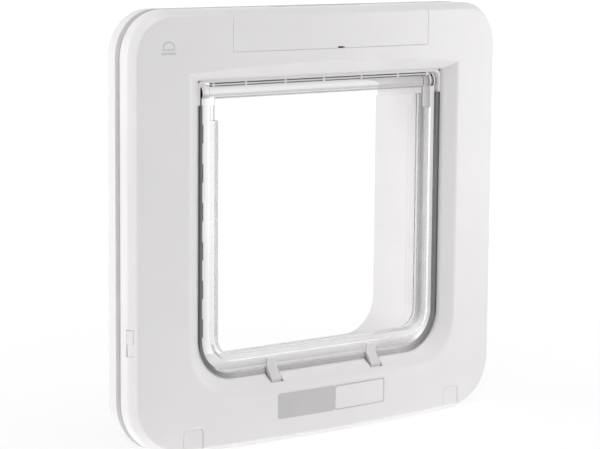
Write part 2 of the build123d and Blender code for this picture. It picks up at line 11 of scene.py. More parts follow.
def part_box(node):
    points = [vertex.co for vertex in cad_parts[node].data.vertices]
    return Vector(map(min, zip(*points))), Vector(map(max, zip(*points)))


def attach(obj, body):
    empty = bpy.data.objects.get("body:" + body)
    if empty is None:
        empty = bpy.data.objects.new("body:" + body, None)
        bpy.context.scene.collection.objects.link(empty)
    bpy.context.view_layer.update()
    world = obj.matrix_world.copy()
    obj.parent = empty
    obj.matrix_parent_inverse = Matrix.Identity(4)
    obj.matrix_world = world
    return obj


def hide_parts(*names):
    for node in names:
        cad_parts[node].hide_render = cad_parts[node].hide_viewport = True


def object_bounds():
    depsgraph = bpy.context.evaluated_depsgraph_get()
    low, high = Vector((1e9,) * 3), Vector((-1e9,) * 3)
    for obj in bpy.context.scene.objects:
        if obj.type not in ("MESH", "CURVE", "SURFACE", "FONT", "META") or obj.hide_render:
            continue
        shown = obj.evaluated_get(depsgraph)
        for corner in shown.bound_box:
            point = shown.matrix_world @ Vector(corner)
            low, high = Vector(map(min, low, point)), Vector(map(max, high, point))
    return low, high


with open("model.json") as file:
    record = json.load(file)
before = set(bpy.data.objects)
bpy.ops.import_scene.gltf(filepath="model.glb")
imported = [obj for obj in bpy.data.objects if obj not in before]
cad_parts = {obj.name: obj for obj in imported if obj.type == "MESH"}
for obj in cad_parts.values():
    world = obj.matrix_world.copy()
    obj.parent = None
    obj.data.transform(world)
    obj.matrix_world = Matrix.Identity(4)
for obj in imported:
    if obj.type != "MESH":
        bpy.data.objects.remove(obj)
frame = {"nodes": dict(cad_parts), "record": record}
CAD_BOX = [list(corner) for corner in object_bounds()]
SHELL_LOW, SHELL_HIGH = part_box("front_shell")
LENS_LOW, LENS_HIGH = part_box("indicator_lens")
BODIES = {node: body for body, nodes in frame["record"]["behaviour"]["bodies"].items() for node in nodes}
MM = 0.001
# Slack for comparing places, and digits of a metre in which two columns have to differ
TOUCH, DIGITS = 0.001 * MM, 7

bl_info = {
    "name": "Pet door room unit",
    "version": (1, 0, 0),
    "blender": (4, 5, 0),
    "location": "View3D > Sidebar > Pet door",
    "description": "Moulded shells, clear flap, finishes and a studio for the packed pet door",
    "category": "Object",
}


def number(name, description, value, unit="NONE"):
    """A plain number property, or one in metres, watts or the like where a unit is given."""
    return FloatProperty(name=name, description=description, default=value, unit=unit)


def length(name, description, millimetres):
    """A length property, given in millimetres and held in metres."""
    return FloatProperty(
        name=name, description=description, default=millimetres * MM, unit="LENGTH", precision=5)


def position(name, description, metres):
    """A place property, in metres."""
    return FloatVectorProperty(
        name=name, description=description, default=metres, subtype="XYZ", unit="LENGTH")


def linear(value):
    """Linear colour of an sRGB hex value."""
    srgb = np.array([int(value[i:i + 2], 16) for i in (1, 3, 5)]) / 255
    lin = np.where(srgb <= 0.04045, srgb / 12.92, ((srgb + 0.055) / 1.055) ** 2.4)
    return (*lin.tolist(), 1.0)


def colour(name, description, value):
    """A colour property, given as an sRGB hex value and held as a linear colour."""
    return FloatVectorProperty(
        name=name, description=description, default=linear(value), size=4, min=0.0, max=1.0, subtype="COLOR")


class ShellSettings(bpy.types.PropertyGroup):
    """Sizes of the bowed front shell and of what is cut from its form."""

    half_width: number("Half width", "Middle to one side of the frame", SHELL_HIGH[0], "LENGTH")
    half_height: number("Half height", "Middle to the top of the frame", SHELL_HIGH[2], "LENGTH")
    face_y: number("Face depth", "Front of the bowed face at its middle", SHELL_LOW[1], "LENGTH")
    top_corner: length("Upper corner radius", "Radius of the frame's upper outer corners", 27.0)
    low_corner: length("Lower corner radius", "Radius of the lower corners, and of all in the solids", 33.0)
    rear_y: length("Rear edge", "Depth of the front shell's rear edge", -14.5)
    bow: length("Bow", "How far the middle of the face stands in front of its sides", 11.0)
    edge_in: length("Sloped edge on the face", "Width of the sloped edge, seen from the front", 3.6)
    edge_back: length("Sloped edge on the side", "Width of the sloped edge, seen from the side", 5.0)
    edge_round: length("Edge rounding", "Length over which the sloped edge turns into its neighbours", 0.9)
    wall: length("Wall", "Thickness of the moulding", 2.0)
    lip_y: length("Lip depth", "Depth of the recess's inner lip", -25.5)
    lip_half: length("Lip half width", "Half width of the recess at its lip", 93.4)
    lip_top: length("Lip height", "Height of the recess's lip above the middle", 89.4)
    lip_corner: length("Lip corner", "Lower corner radius of the recess at its lip", 25.4)
    side_slope: number("Side slope", "Widening of the recess per depth", 1.59)
    top_slope: number("Top slope", "Rise of the recess per depth", 0.76)
    sill_slope: number("Sill slope", "Fall of the recess per depth", 0.74)
    corner_growth: number("Corner growth", "Corner radius gained per depth", 0.5)
    recess_round: length("Recess edge", "Rounding where the recess meets the face", 1.3)
    sill_round: length("Sill edge", "Softer rounding added along the sill", 3.4)
    cover_half: length("Cover half width", "Half width of the battery cover's opening", 75.0)
    cover_low: length("Cover seam", "Height of the seam under the battery cover", 106.2)
    cover_gap: length("Cover gap", "Gap round the battery cover", 0.25)
    slit_middle: length("Slit place", "Middle of the slit in the cover's lower edge", 3.4)
    slit_half: length("Slit half width", "Half width of the slit in the cover's lower edge", 2.6)
    slit_height: length("Slit height", "Height of the slit in the cover's lower edge", 0.8)
    finger_half: length("Finger recess", "Half width of the finger recess on the cover's top", 36.0)
    finger_depth: length("Finger recess depth", "Depth of the finger recess", 1.0)
    cap_middle: length("Cap place", "Middle of a screw cap from the middle of the frame", 101.2)
    cap_half: length("Cap half width", "Half width of a screw cap's opening", 6.4)
    cap_top: length("Cap top", "Upper edge of the screw caps", -115.7)
    cap_gap: length("Cap gap", "Gap round a screw cap", 0.15)
    cap_corner: length("Cap corner", "Radius of a screw cap's upper corners", 1.6)
    slot_middle: length("Catch slot place", "Middle of a catch slot from the middle of the frame", 39.0)
    slot_half: length("Catch slot half width", "Half width of a catch slot", 4.9)
    slot_front: length("Catch slot front", "Depth of a catch slot's front end", -32.4)
    switch_low: length("Switch slot low", "Lower end of the side switch's slot", -69.0)
    switch_high: length("Switch slot high", "Upper end of the side switch's slot", -53.0)
    switch_rear: length("Switch slot rear", "Depth of the switch slot's rear edge", -20.2)
    switch_front: length("Switch slot front", "Depth of the switch slot's front edge", -25.0)
    switch_recess: length("Switch slot depth", "Depth of the slot's floor inside the shell's side", 1.0)


class TrimSettings(bpy.types.PropertyGroup):
    """Sizes of the bare plate and the indicator on the face, and of the small roundings."""

    plate_left: length("Plate left", "Left end of the bare plate", -42.0)
    plate_split: length("Plate split", "Where the filled half ends and the open half begins", 1.0)
    plate_right: length("Plate right", "Right end of the bare plate", 41.5)
    plate_top: length("Plate top", "Upper edge of the bare plate", -101.0)
    plate_low: length("Plate low", "Lower edge of the bare plate", -116.5)
    plate_corner: length("Plate corner", "Corner radius of the bare plate", 1.6)
    plate_line: length("Plate line", "Line width of the open half", 0.7)
    plate_proud: length("Plate height", "How far the plate stands off the face", 0.12)
    dome_half: length("Indicator half width", "Half width of the indicator's dome", 4.0)
    dome_top: length("Indicator dome corner", "Radius of the dome's upper corners", 3.8)
    dome_foot: length("Indicator dome foot", "Foot of the dome above the lens's lower end", 2.3)
    dome_line: length("Indicator line", "Line width of the dome", 1.0)
    bar_height: length("Indicator bar", "Height of the bar under the dome", 1.4)
    lens_corner: length("Indicator corner", "Radius of the bar's corners and the dome's lower ones", 0.4)
    lens_proud: length("Indicator height", "How far the indicator stands off the face", 0.05)
    cover_round: length("Cover edge", "Rounding of the battery cover's edges", 0.25)
    cap_round: length("Cap edge", "Rounding of the screw caps' edges", 0.12)
    flap_round: length("Flap rounding", "Rounding of the flap's edges", 1.2)
    small_round: length("Small rounding", "Rounding of the catches' and the side switch's edges", 0.3)


class FinishSettings(bpy.types.PropertyGroup):
    """Colours of the finishes."""

    shell: colour("Shells", "White of the moulded shells", "#EEECED")
    cap: colour("Screw caps", "Warmer white of the screw caps", "#EEECEB")
    tunnel: colour("Tunnel", "White of the tunnel", "#E9E7E8")
    flap: colour("Flap", "Tint of the clear flap", "#FFFFFF")
    # Painted shade: grey painted into the flap's thick rim towards its edge
    flap_rim_shade: colour("Flap edge", "Grey that the flap's thick rim gathers at its edge", "#AFADAD")
    # Painted shade: the side seals' dark grey is partly their own colour, partly painted shade of the gap
    # beside the flap
    seal: colour("Side seals", "Dark grey of the seals beside and above the flap", "#3A3A3C")
    seal_lip: colour("Seal lip", "Mid grey of the seals' lip towards the flap", "#747476")
    seal_foot: colour("Seal foot", "Pale grey of the seals' stiff foot", "#D4D4D4")
    sill: colour("Sill seal", "Paler grey of the seal under the flap", "#BFBDBE")
    catch: colour("Catches", "Light grey of the catches and bearings", "#DFDDDE")
    plate: colour("Plate", "Silver grey of the bare plate", "#CBC9CA")
    lens: colour("Indicator", "Grey of the indicator", "#DAD9DA")
    inner: colour("Inner mouldings", "Black of the tray and the lock chassis", "#222224")
    board: colour("Circuit board", "Green of the solder resist", "#1D5A36")
    cell: colour("Cells", "Sleeve of the cells", "#2B2D33")
    cell_end: colour("Cell ends", "Band at the positive end of each cell", "#B98A4A")


class StageSettings(bpy.types.PropertyGroup):
    """Camera and light of the studio."""

    lens: number("Lens", "Focal length in millimetres", 131.94)
    eye: position("Eye", "Place of the camera", (-0.8290, -1.0689, 0.1899))
    target: position("Target", "Middle of the picture", (-0.00917, -0.0145, -0.00287))
    roll: FloatProperty(name="Roll", description="Turn of the camera about its line of sight",
                        default=math.radians(0.479), subtype="ANGLE")
    key: number("Key light", "Power of the light from the right", 0.97, "POWER")
    key_place: position("Key light place", "Place of the light from the right", (0.64, -0.38, 0.05))
    side: number("Side light", "Power of the light on the left", 16.4, "POWER")
    side_place: position("Side light place", "Place of the light on the left", (-1.6, 0.7, 0.35))
    top: number("Top light", "Power of the light above", 19.0, "POWER")
    top_place: position("Top light place", "Place of the light above", (0.0, -0.6, 1.8))
    table: number("Table", "Strength of the light from under the floor", 0.46)
    ambient: number("Ambient", "Strength of the even light from all round", 0.19)


# Meshes

# Angles, in degrees, past which an edge is sharp: on a surface, on a solid's copy, and for a rounding
SHARP_SURFACE, SHARP_SOLID, SHARP_ROUNDED = 45, 30, 40
# Distance within which a solid's corners are joined, and degrees within which its faces are one
JOIN, FLAT = 0.002 * MM, 0.2
# Segments of a rounding, and of the flap's, which shows most
SEGMENTS, FLAP_SEGMENTS = 2, 4
# Points of a plate's corner, longest step along its runs, and the rows from its rim to its small core
CORNER_POINTS, RUN_STEP, PLATE_ROWS, PLATE_CORE = 10, 3 * MM, 14, 0.02
# Length over which the end walls of the side switch's slot fall
SLOT_WALL = 0.05 * MM


def mesh_object(name, mesh, sharp):
    """Object of a mesh, shaded smooth up to an angle in degrees."""
    mesh.shade_smooth()
    mesh.set_sharp_from_angle(angle=math.radians(sharp))
    piece = bpy.data.objects.new(name, mesh)
    bpy.context.collection.objects.link(piece)
    return piece


def grid_object(name, points, closed=False, keep=None, capped=False):
    """Mesh object of a grid of points, rows by columns, in quads; closed joins the last column to the first.

    keep is a mask of the quads to build; corners that no quad uses are left out. capped closes the last
    row's ring.
    """
    rows, columns = points.shape[:2]
    across = columns if closed else columns - 1
    j, i = np.meshgrid(np.arange(rows - 1), np.arange(across), indexing="ij")
    following = (i + 1) % columns
    corner, beside = j * columns + i, j * columns + following
    quads = np.stack([corner, beside, beside + columns, corner + columns], -1)
    quads = quads.reshape(-1, 4) if keep is None else quads[keep]
    used, faces = np.unique(quads, return_inverse=True)
    pole = [list(range(len(used) - columns, len(used)))] if capped else []
    mesh = bpy.data.meshes.new(name)
    mesh.from_pydata(points.reshape(-1, 3)[used].tolist(), [], faces.reshape(-1, 4).tolist() + pole)
    return mesh_object(name, mesh, SHARP_SURFACE)


def soften(piece, width=0.0, segments=SEGMENTS):
    """Rounds the sharp edges of a piece, where a width is given, and evens out its normals."""
    if width > 0:
        bevel = piece.modifiers.new("Edges", "BEVEL")
        bevel.width = width
        bevel.segments = segments
        bevel.limit_method = "ANGLE"
        bevel.angle_limit = math.radians(SHARP_ROUNDED)
        bevel.use_clamp_overlap = True
    normals = piece.modifiers.new("Normals", "WEIGHTED_NORMAL")
    normals.keep_sharp = True


def thicken(piece, thickness):
    """Gives a surface its wall, grown inwards."""
    wall = piece.modifiers.new("Wall", "SOLIDIFY")
    wall.thickness = thickness
    wall.offset = -1.0


def merged_copy(node, edge=0.0, segments=SEGMENTS):
    """Copy of a solid's mesh with its corners joined, flat faces made whole and round faces shaded smooth.

    Where an edge is given, the sharp edges are rounded by it.
    """
    mesh = frame["nodes"][node].data.copy()
    work = bmesh.new()
    work.from_mesh(mesh)
    bmesh.ops.remove_doubles(work, verts=work.verts, dist=JOIN)
    bmesh.ops.dissolve_limit(work, angle_limit=math.radians(FLAT), verts=work.verts, edges=work.edges)
    work.to_mesh(mesh)
    work.free()
    piece = mesh_object(node + "_finish", mesh, SHARP_SOLID)
    soften(piece, edge, segments)
    return piece


def seat(piece, finish, node, stands_for=True):
    """Gives a piece its finish and a node's body, and hides that node where the piece stands for it."""
    piece.data.materials.clear()
    piece.data.materials.append(finish_named(finish))
    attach(piece, BODIES[node])
    if stands_for:
        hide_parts(node)


def curve(start, control, end, count):
    """Rows of a quadratic curve: (1-t)^2 start + 2t(1-t) control + t^2 end, with t from 0 to 1."""
    t = np.linspace(0.0, 1.0, count)[:, None, None]
    return (1 - t) ** 2 * start + 2 * t * (1 - t) * control + t ** 2 * end


def straight(start, end, shares):
    """Rows of a straight run: start + share x (end - start), with a share for each row or each place."""
    t = np.asarray(shares, float)
    return start + t.reshape(len(t), -1, 1) * (end - start)


def ease(share):
    """Smooth step from 0 to 1: t^2 (3 - 2t), with the share held between 0 and 1."""
    t = np.clip(share, 0, 1)
    return t ** 2 * (3 - 2 * t)


def with_cuts(start, end, count, cuts):
    """Even places from start to end with the cuts sorted in, joined where all their digits agree."""
    return np.unique(np.round(np.concatenate([np.linspace(start, end, count), cuts]), DIGITS))


def spread(places, plain, old_end, new_end):
    """Places on a run whose end moves: they stay up to plain from the middle, and stretch evenly beyond."""
    away = np.abs(places)
    stretched = plain + (away - plain) * (new_end - plain) / (old_end - plain)
    return np.sign(places) * np.where(away > plain, stretched, away)


class ShellForm:
    """The front shell as a function of two parameters: a station round it and a row across its section.

    A station is a point that lies one corner radius inside the frame, with a direction outwards, so that
    point + (radius - inset) x direction runs round the frame at any inset. The radius is that of the lower
    corners at the foot and that of the upper corners at the head, and it changes evenly up the sides. The
    rows run from the rear edge up the side, over the sloped edge, across the bowed face, and down the recess
    to its lip.
    """

    # Columns along the top and the bottom, up each side and round each corner
    ACROSS, UP, ROUND = 61, 49, 16
    # Rows of the rear edge's rounding, of the other roundings and of the face by the recess
    REAR_ROWS, ROUND_ROWS, INNER_ROWS = 4, 7, 7
    # Rows of the side, of the face up to the seams' line and of the slope behind the slots' front, as shares
    SIDE_ROWS = (0.12, 0.24, 0.36, 0.48, 0.60)
    FACE_ROWS = (0.2, 0.4, 0.6, 0.75, 0.84, 0.88, 0.92, 0.96, 0.985)
    WELL_ROWS = (0.33, 0.67, 1.0)
    # Row of the side that the caps' rear edges lie on
    CAP_ROW = 3
    # Rounding of the rear edge, and the nearly sharp upper corners of the recess
    REAR_ROUND, UPPER_CORNER = 0.5 * MM, 0.6 * MM
    # Shares of the frame's half sizes within which the recess's columns keep their place
    PLAIN_X, PLAIN_Z = 0.4, 0.3
    # Share of the corner radius at which the seams' line runs along the sides
    SIDE_LINE = 0.53
    # Shares of the side and of the sloped edge between which the switch slot's edges may lie all round
    SLOT_REAR, SLOT_FRONT = (0.65, 0.98), (0.2, 0.9)
    # Shares over which the switch slot's rear and front walls fall
    REAR_WALL, FRONT_WALL = 0.008, 0.01
    # Share of the recess's slope that the catch slots' front stays within
    SLOT_STOP = 0.96
    # Turns of the search for the recess's edge
    SEARCH = 40

    def __init__(self, s, cover_lift=0.0, cap_drop=0.0):
        self.s = s
        self.cover_lift = cover_lift
        self.cap_drop = cap_drop

    def stations(self, x_cuts, z_cuts):
        """Stations counter-clockwise from the lower left, with columns at every cut."""
        s = self.s
        low, top = s.low_corner, s.top_corner
        foot, head = low - s.half_height, s.half_height - top
        z = with_cuts(foot, head, self.UP, z_cuts)
        lower, upper = (
            with_cuts(r - s.half_width, s.half_width - r, self.ACROSS, x_cuts) for r in (low, top))
        side = np.interp(z, [foot, head], [low, top])
        turn = np.linspace(0.0, math.pi / 2, self.ROUND + 2)[1:-1]
        cos, sin = np.cos(turn), np.sin(turn)
        # Place, direction and radius of each run and corner
        runs = [
            (lower, foot, 0.0, -1.0, low),
            (s.half_width - low, foot, sin, -cos, low),
            (s.half_width - side, z, 1.0, 0.0, side),
            (s.half_width - top, head, cos, sin, top),
            (upper[::-1], head, 0.0, 1.0, top),
            (top - s.half_width, head, -sin, cos, top),
            ((side - s.half_width)[::-1], z[::-1], -1.0, 0.0, side[::-1]),
            (low - s.half_width, foot, -cos, -sin, low),
        ]
        columns = zip(*(np.broadcast_arrays(*run) for run in runs))
        self.x, self.z, self.dx, self.dz, self.radius = (np.concatenate(column) for column in columns)
        return self

    def face(self, x):
        """Depth of the bowed face: an upright cylinder, radius (half width^2 + bow^2) / (2 bow)."""
        radius = (self.s.half_width ** 2 + self.s.bow ** 2) / (2 * self.s.bow)
        return self.s.face_y + radius - np.sqrt(radius ** 2 - x ** 2)

    def on_face(self, x, z, back=0.0):
        """Points at places on the face, or some depth behind it."""
        return np.stack([x, self.face(x) + back, z], -1)

    def rim(self, inset):
        """Places round the frame at an inset: station + (radius - inset) x direction."""
        reach = self.radius - inset
        return self.x + reach * self.dx, self.z + reach * self.dz

    def middle(self):
        """Places of the line of the cover's seam and the caps' upper edges: station + reach x direction.

        The reach ends at the seam above, at the caps' edges below, and at a share of the radius on the sides.
        """
        s = self.s
        inner = s.half_height - self.radius
        top = s.cover_low + self.cover_lift - inner
        low = -(s.cap_top - self.cap_drop) - inner
        beside = self.SIDE_LINE * self.radius
        reach = np.where(self.dz > 0, top, low) * self.dz ** 2 + beside * self.dx ** 2
        return self.x + reach * self.dx, self.z + reach * self.dz

    def opening(self, ahead):
        """Places round the recess at a distance in front of its lip, grown on each side by slope x distance.

        Upper corners stay nearly sharp, and the lower radius grows with the distance too.
        """
        s = self.s
        half = s.lip_half + s.side_slope * ahead
        top = s.lip_top + s.top_slope * ahead
        low = -s.lip_top - s.sill_slope * ahead
        round_low = s.lip_corner + s.corner_growth * ahead
        corner = np.where(self.dz > 0, self.UPPER_CORNER, round_low)
        run = half - corner
        end = np.where(self.z > 0, top - self.UPPER_CORNER, -(low + round_low))
        along_x = spread(self.x, self.PLAIN_X * s.half_width, s.half_width - self.radius, run)
        along_z = spread(self.z, self.PLAIN_Z * s.half_height, s.half_height - self.radius, end)
        centre_z = np.where(self.dz > 0, top - corner, low + corner)
        x = np.where(self.dx == 0, along_x, np.sign(self.dx) * run + self.dx * corner)
        z = np.where(self.dz == 0, along_z, centre_z + self.dz * corner)
        return x, z

    def on_recess(self, ahead):
        """Points on the recess's slope at a distance in front of its lip."""
        x, z = self.opening(ahead)
        return np.stack([x, np.broadcast_to(self.s.lip_y - ahead, x.shape), z], -1)

    def rows(self):
        """All rows as one array, and the index of the rows that cuts run along."""
        s = self.s
        cut = s.edge_round
        parts, marks = [], {}

        def put(name, rows):
            marks[name] = sum(len(part) for part in parts)
            parts.append(rows)

        # Side, from the rear edge to the sloped edge
        x, z = self.rim(0.0)
        in_x, in_z = self.rim(self.REAR_ROUND)
        rear_y = np.full_like(x, s.rear_y)
        rear = np.stack([x, rear_y, z], -1)
        shoulder = np.stack([x, self.face(x) + s.edge_back, z], -1)
        back = np.array([0.0, 1.0, 0.0])
        start, end = rear - self.REAR_ROUND * back, shoulder + cut * back
        put("rear", curve(np.stack([in_x, rear_y, in_z], -1), rear, start, self.REAR_ROWS))
        put("side", straight(start, end, self.SIDE_ROWS))
        marks["cap_rear"] = marks["side"] + self.CAP_ROW
        share = np.clip((s.switch_rear - start[:, 1]) / (end - start)[:, 1], *self.SLOT_REAR)
        put("switch_rear", straight(start, end, np.stack([share, share + self.REAR_WALL])))

        # Sloped edge, with a rounding at both its sides
        brow = self.on_face(*self.rim(s.edge_in))
        slope = brow - shoulder
        slope /= np.linalg.norm(slope, axis=-1, keepdims=True)
        edge_start, edge_end = shoulder + cut * slope, brow - cut * slope
        put("shoulder", curve(end, shoulder, edge_start, self.ROUND_ROWS))
        share = np.clip((s.switch_front - edge_start[:, 1]) / (edge_end - edge_start)[:, 1], *self.SLOT_FRONT)
        put("switch_front", straight(edge_start, edge_end, np.stack([(1 - self.FRONT_WALL) * share, share])))
        start_x, start_z = self.rim(s.edge_in + cut)
        put("brow", curve(edge_end, brow, self.on_face(start_x, start_z), self.ROUND_ROWS))

        # Face, up to the line of the seams
        mid_x, mid_z = self.middle()
        shares = np.array(self.FACE_ROWS)[:, None]
        face_x, face_z = start_x + shares * (mid_x - start_x), start_z + shares * (mid_z - start_z)
        put("outer_face", self.on_face(face_x, face_z))
        put("middle", self.on_face(mid_x, mid_z)[None])

        # Edge of the recess, where its slope meets the bow: each turn takes the depth at the last place
        ahead = np.full_like(x, s.lip_y - s.face_y)
        for _ in range(self.SEARCH):
            ahead = s.lip_y - self.face(self.opening(ahead)[0])
        edge_x, edge_z = self.opening(ahead)
        edge = self.on_face(edge_x, edge_z)
        soft = s.recess_round + s.sill_round * np.clip(-self.dz, 0, 1) ** 2
        turned = soft / np.hypot(mid_x - edge_x, mid_z - edge_z)
        near_x, near_z = edge_x + turned * (mid_x - edge_x), edge_z + turned * (mid_z - edge_z)
        shares = np.linspace(0, 1, self.INNER_ROWS + 2)[1:-1, None]
        face_x, face_z = mid_x + shares * (near_x - mid_x), mid_z + shares * (near_z - mid_z)
        put("inner_face", self.on_face(face_x, face_z))

        # Recess, past the front of the catch slots to its lip
        top = 1 - soft / np.linalg.norm(edge - self.on_recess(0.0 * ahead), axis=-1)
        near, below = self.on_face(near_x, near_z), self.on_recess(ahead * top)
        put("recess_edge", curve(near, edge, below, self.ROUND_ROWS))
        stop = np.minimum((s.lip_y - s.slot_front) / ahead, self.SLOT_STOP * top)
        put("slope", self.on_recess(ahead * (top + stop) / 2)[None])
        put("slot", self.on_recess(ahead * stop)[None])
        put("well", self.on_recess(ahead * stop * (1 - np.array(self.WELL_ROWS)[:, None])))
        return np.concatenate(parts), marks


def draw_out_corners(mesh, s):
    """Carries the upper outer corners of a solid's mesh from the solids' radius to the form's.

    A point of a corner's outer band moves along the ray from the solid corner's centre, by the ratio of the
    two outlines' distances on that ray: to the form's arc, or to the straight side beyond the arc's end.
    """
    # Share of the solid's radius where the band begins, and share over which it takes hold
    band_start, band_width = 0.80, 0.15
    points = np.empty(3 * len(mesh.vertices))
    mesh.vertices.foreach_get("co", points)
    points = points.reshape(-1, 3)
    centre = np.array([s.half_width, s.half_height]) - s.low_corner
    out = np.stack([np.abs(points[:, 0]), points[:, 2]], -1) - centre
    reach = np.maximum(np.linalg.norm(out, axis=1), TOUCH)
    along = np.clip(out, 0.0, None) / reach[:, None]
    step = s.low_corner - s.top_corner
    lift = step * along.sum(1)
    arc = lift + np.sqrt(np.maximum(s.top_corner ** 2 - 2 * step ** 2 + lift ** 2, 0.0))
    on_arc = (arc[:, None] * along > step).all(1)
    target = np.where(on_arc, arc, s.low_corner / np.maximum(along.max(1), TOUCH))
    band = np.clip((reach / s.low_corner - band_start) / band_width, 0.0, 1.0) * (out > 0).all(1)
    grown = centre + out * (1 + band * (target / s.low_corner - 1))[:, None]
    points[:, 0], points[:, 2] = np.sign(points[:, 0]) * grown[:, 0], grown[:, 1]
    mesh.vertices.foreach_set("co", points.ravel())
    mesh.update()


def round_caps(form, points, marks, gap):
    """Draws the columns of each cap in at its upper corners: half width less r - sqrt(r^2 - rise^2)."""
    s = form.s
    half, top, r = s.cap_half - gap, s.cap_top - gap, s.cap_corner
    face = points[marks["outer_face"]:marks["middle"] + 1]
    x, z = face[..., 0], face[..., 2]
    rise = np.clip(z - (top - r), 0, r)
    drawn = 1 - (r - np.sqrt(r ** 2 - rise ** 2)) / half
    offset = np.abs(form.x) - s.cap_middle
    columns = (form.dz == -1) & (np.abs(offset) < half + TOUCH)
    x[:, columns] = (np.sign(form.x) * (s.cap_middle + offset * drawn))[:, columns]
    face[..., 1] = form.face(x)


def inside(values, low, high):
    """Mask of the columns whose middle lies between two values."""
    middle = (values + np.roll(values, -1)) / 2
    return (middle > low) & (middle < high)


def cap_end(s):
    """Outer edge of a cap's opening, which stays on the straight lower run."""
    return min(s.cap_middle + s.cap_half, s.half_width - s.low_corner)


def shell_cuts(s):
    """Columns that the cuts in the shell run along."""
    cap = [s.cap_middle - s.cap_half, cap_end(s)]
    slot = [s.slot_middle - s.slot_half, s.slot_middle + s.slot_half]
    x = np.array([s.cover_half, *cap, *slot])
    z = np.array([s.switch_low, s.switch_low + SLOT_WALL, s.switch_high - SLOT_WALL, s.switch_high])
    return np.concatenate([x, -x]), z


def round_outline(left, right, low, top, low_corner, top_corner):
    """Places round a plate, counter-clockwise: corner centre + radius x (cos a, sin a), then a run."""
    turn = np.linspace(0, math.pi / 2, CORNER_POINTS)
    corners = [
        (right - low_corner, low + low_corner, low_corner, turn - math.pi / 2),
        (right - top_corner, top - top_corner, top_corner, turn),
        (left + top_corner, top - top_corner, top_corner, turn + math.pi / 2),
        (left + low_corner, low + low_corner, low_corner, turn + math.pi),
    ]
    x = np.concatenate([cx + r * np.cos(a) for cx, cz, r, a in corners])
    z = np.concatenate([cz + r * np.sin(a) for cx, cz, r, a in corners])
    # Long straight runs get columns every few millimetres so that the plate follows the bow
    gaps = np.hypot(np.roll(x, -1) - x, np.roll(z, -1) - z)
    counts = np.maximum(1, np.ceil(gaps / RUN_STEP).astype(int))
    start = np.repeat(np.arange(len(x)), counts)
    first = np.repeat(np.cumsum(counts) - counts, counts)
    share = (np.arange(counts.sum()) - first) / np.repeat(counts, counts)
    following = (start + 1) % len(x)
    return x[start] + share * (x[following] - x[start]), z[start] + share * (z[following] - z[start])


def face_plate(name, s, outline, proud, line=0.0):
    """Thin plate on the bowed face with a rim down to it, or only its outline where a line width is given.

    A row is middle + share x (outline - middle), laid on the face and raised off it by the row's height.
    """
    x, z = outline
    if line > 0:
        inner_x, inner_z = 1 - 2 * line / np.ptp(x), 1 - 2 * line / np.ptp(z)
        rows = [(1, 1, 0), (1, 1, proud), (inner_x, inner_z, proud), (inner_x, inner_z, 0)]
    else:
        shares = np.linspace(1.0, PLATE_CORE, PLATE_ROWS)
        rows = [(1, 1, 0), *((share, share, proud) for share in shares)]
    across, up, height = np.array(rows).T[..., None]
    middle_x, middle_z = (x.max() + x.min()) / 2, (z.max() + z.min()) / 2
    points = ShellForm(s).on_face(middle_x + across * (x - middle_x), middle_z + up * (z - middle_z), -height)
    return grid_object(name, points, closed=True, capped=line == 0)


# Materials


def add(tree, kind, settings=None, links=None):
    """Adds a node; settings name its inputs, attributes or stops, links name inputs and what feeds them."""
    made = tree.nodes.new(kind)
    for key, value in (settings or {}).items():
        if key == "stops":
            for stop, (share, tint) in zip(made.color_ramp.elements, value):
                stop.position, stop.color = share, tint
        elif isinstance(key, int) or key in made.inputs:
            made.inputs[key].default_value = value
        else:
            setattr(made, key, value)
    for key, socket in (links or {}).items():
        tree.links.new(socket, made.inputs[key])
    return made


def blank(name):
    """New empty material, its tree and its object coordinates."""
    material = bpy.data.materials.new(name)
    material.use_nodes = True
    tree = material.node_tree
    tree.nodes.clear()
    return material, tree, add(tree, "ShaderNodeTexCoord").outputs["Object"]


def noise(tree, place, size, detail):
    """Socket of soft noise, its features of a size in millimetres."""
    settings = {"Scale": 1 / (size * MM), "Detail": detail}
    return add(tree, "ShaderNodeTexNoise", settings, {"Vector": place}).outputs["Fac"]


def ramp(tree, share, *stops):
    """Socket of a colour that runs between two stops along a share."""
    return add(tree, "ShaderNodeValToRGB", {"stops": stops}, {"Fac": share}).outputs["Color"]


def mapped(tree, value, start=0.0, end=1.0, low=0.0, high=1.0, kind="LINEAR"):
    """Socket that runs from low to high while a value runs from start to end."""
    return add(tree, "ShaderNodeMapRange", {
        "interpolation_type": kind, "From Min": start, "From Max": end, "To Min": low, "To Max": high,
    }, {"Value": value}).outputs["Result"]


def largest(tree, value, *others):
    """Socket of the largest of some values."""
    for other in others:
        value = add(tree, "ShaderNodeMath", {"operation": "MAXIMUM"}, {0: value, 1: other}).outputs["Value"]
    return value


def ended(material, tint, settings, height=None, strength=0.5, relief=0.0, gloss=None):
    """Ends a material in a shader of a tint, with a gloss and a bump where they are given.

    relief is the height of the bump in millimetres.
    """
    tree, links = material.node_tree, {"Base Color": tint}
    if gloss is not None:
        links["Roughness"] = gloss
    if height is not None:
        depth = {"Strength": strength, "Distance": relief * MM}
        links["Normal"] = add(tree, "ShaderNodeBump", depth, {"Height": height}).outputs["Normal"]
    shader = add(tree, "ShaderNodeBsdfPrincipled", settings, links)
    add(tree, "ShaderNodeOutputMaterial", None, {"Surface": shader.outputs["BSDF"]})
    return material


def grained(name, pale, deep, settings, grain, relief, rough, patch=40.0):
    """Surface of two close colours in soft patches, with a fine grain that varies its gloss and height.

    grain and patch are sizes and relief is the grain's height, in millimetres, and rough is the range of
    roughness across the grain.
    """
    material, tree, place = blank(name)
    tint = ramp(tree, noise(tree, place, patch, 2.0), (0.35, deep), (0.65, pale))
    height = noise(tree, place, grain, 3.0)
    gloss = mapped(tree, height, 0.3, 0.7, *rough)
    return ended(material, tint, settings, height, relief=relief, gloss=gloss)


def shade(tone, share):
    """Colour darkened by a share."""
    return (*(part * (1 - share) for part in tone[:3]), 1.0)


